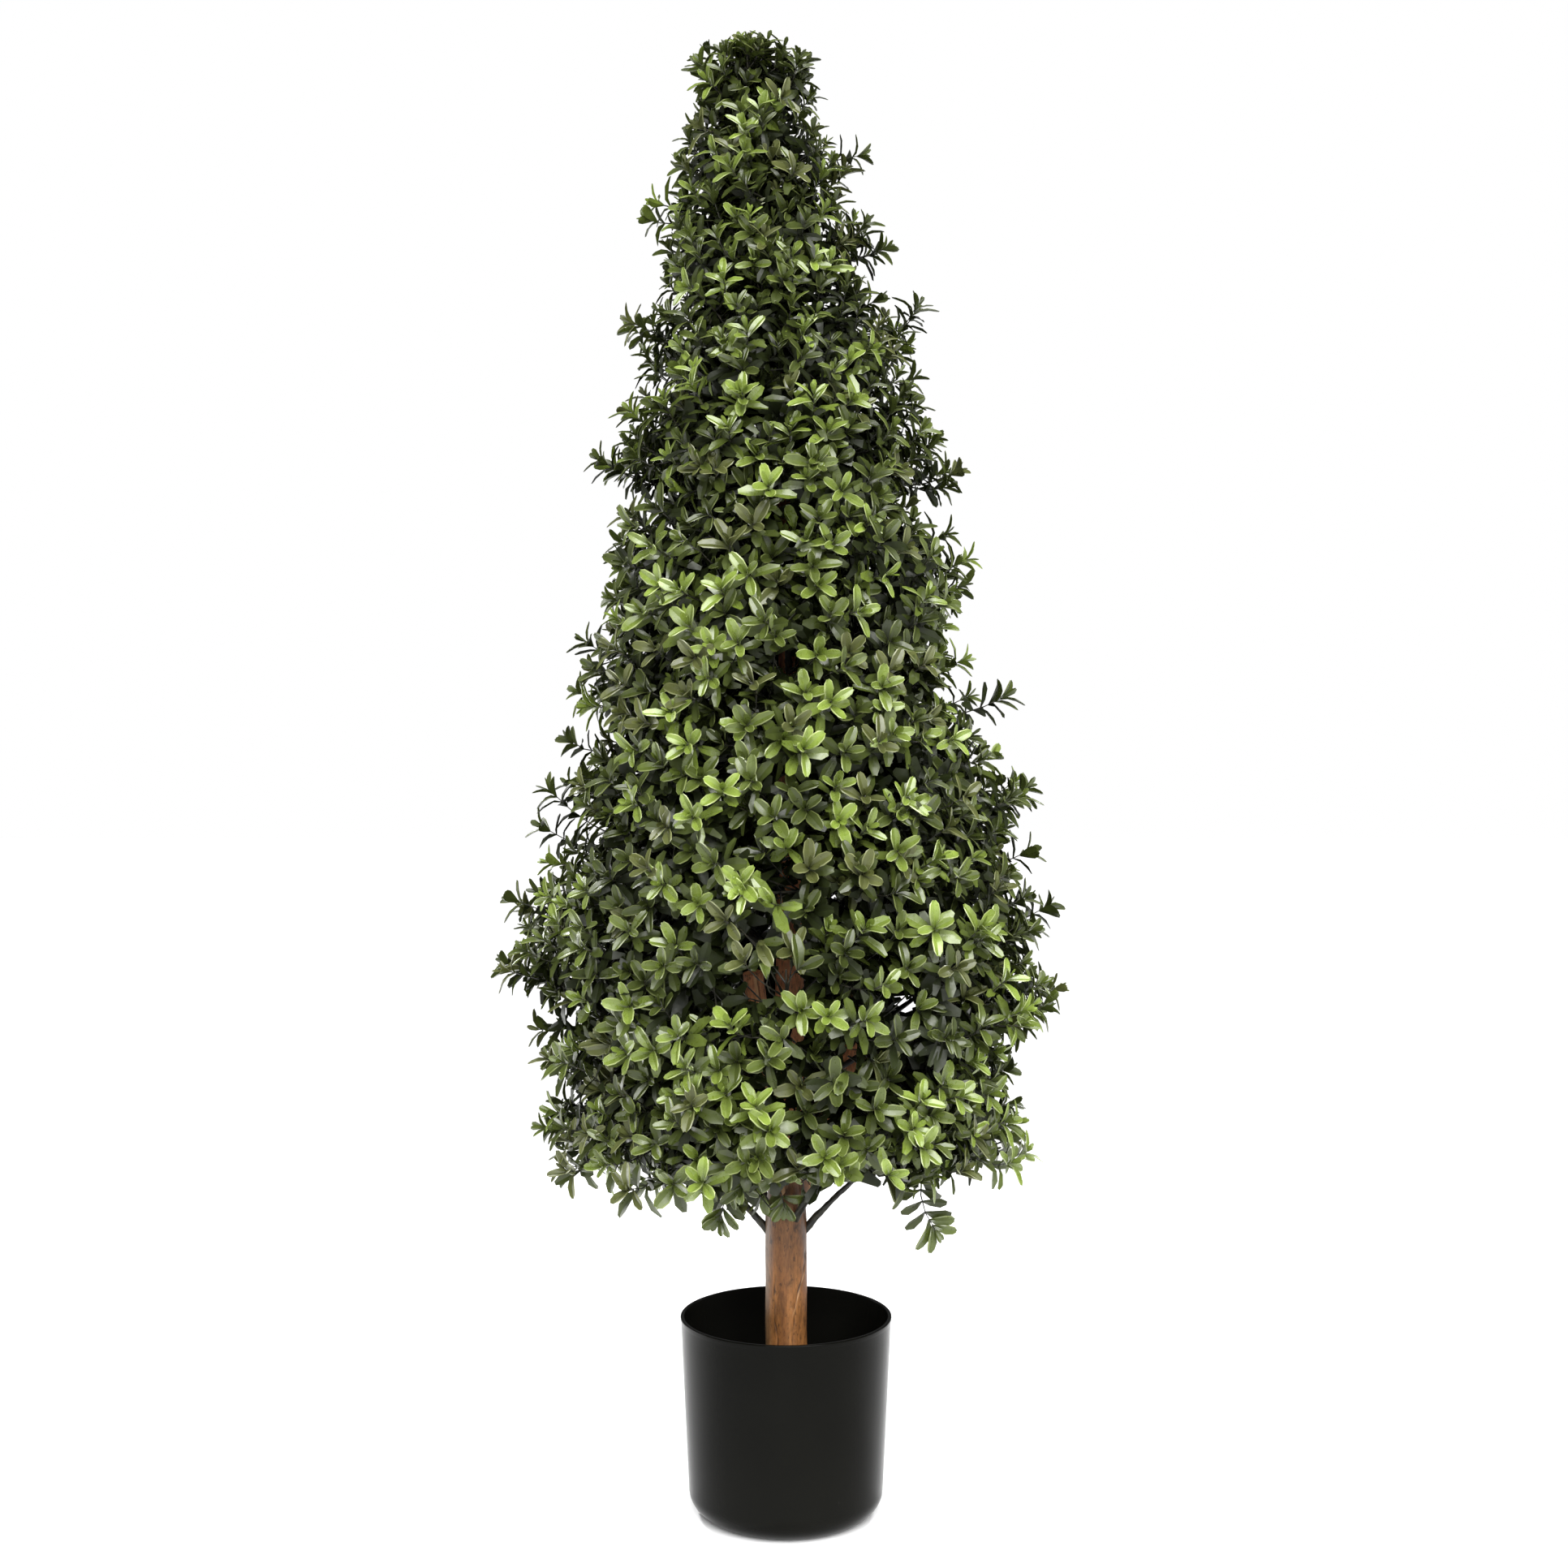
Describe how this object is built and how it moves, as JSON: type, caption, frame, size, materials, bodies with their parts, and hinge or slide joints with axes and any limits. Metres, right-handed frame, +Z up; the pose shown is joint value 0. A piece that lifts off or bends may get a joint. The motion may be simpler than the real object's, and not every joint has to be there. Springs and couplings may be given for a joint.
{
  "type": "boxwood cone topiary",
  "caption": "Artificial boxwood cone topiary on a forked wooden trunk, set in a plain round plastic pot.",
  "frame": {"origin": "centre of the pot's flat underside", "axes": "+Z up the trunk, +X to the right and -Y towards the viewer in the reference picture"},
  "size_m": [0.4734, 0.4617, 1.2004],
  "materials": {
    "pot_plastic": "satin black moulded plastic with fine scuffs",
    "cement": "rough cast cement, out of sight low in the pot",
    "wood": "warm brown stained pole with grain and fine cracks",
    "coated_wire": "dark green-black plastic-coated wire",
    "foliage": "semi-gloss moulded leaves in mixed greens"
  },
  "bodies": {
    "root": {"pot": "pot_plastic", "ballast": "cement", "trunk": "wood", "limb_left": "wood", "limb_right": "wood", "bough_1": "coated_wire", "bough_2": "coated_wire", "bough_3": "coated_wire", "bough_4": "coated_wire", "bough_5": "coated_wire", "bough_6": "coated_wire", "foliage_1_1": "foliage", "foliage_1_2": "foliage", "foliage_1_3": "foliage", "foliage_1_4": "foliage", "foliage_1_5": "foliage", "foliage_1_6": "foliage", "foliage_2_1": "foliage", "foliage_2_2": "foliage", "foliage_2_3": "foliage", "foliage_2_4": "foliage", "foliage_2_5": "foliage", "foliage_2_6": "foliage", "foliage_3_1": "foliage", "foliage_3_2": "foliage", "foliage_3_3": "foliage", "foliage_3_4": "foliage", "foliage_3_5": "foliage", "foliage_4_1": "foliage", "foliage_4_2": "foliage", "foliage_4_3": "foliage", "foliage_4_4": "foliage", "foliage_4_5": "foliage", "foliage_5_1": "foliage", "foliage_5_2": "foliage", "foliage_5_3": "foliage", "foliage_5_4": "foliage", "foliage_6_1": "foliage", "foliage_6_2": "foliage", "foliage_6_3": "foliage", "foliage_6_4": "foliage", "foliage_7_1": "foliage", "foliage_7_2": "foliage", "foliage_7_3": "foliage", "foliage_8_1": "foliage", "foliage_8_2": "foliage", "foliage_8_3": "foliage", "foliage_top": "foliage"}
  },
  "joints": []
}
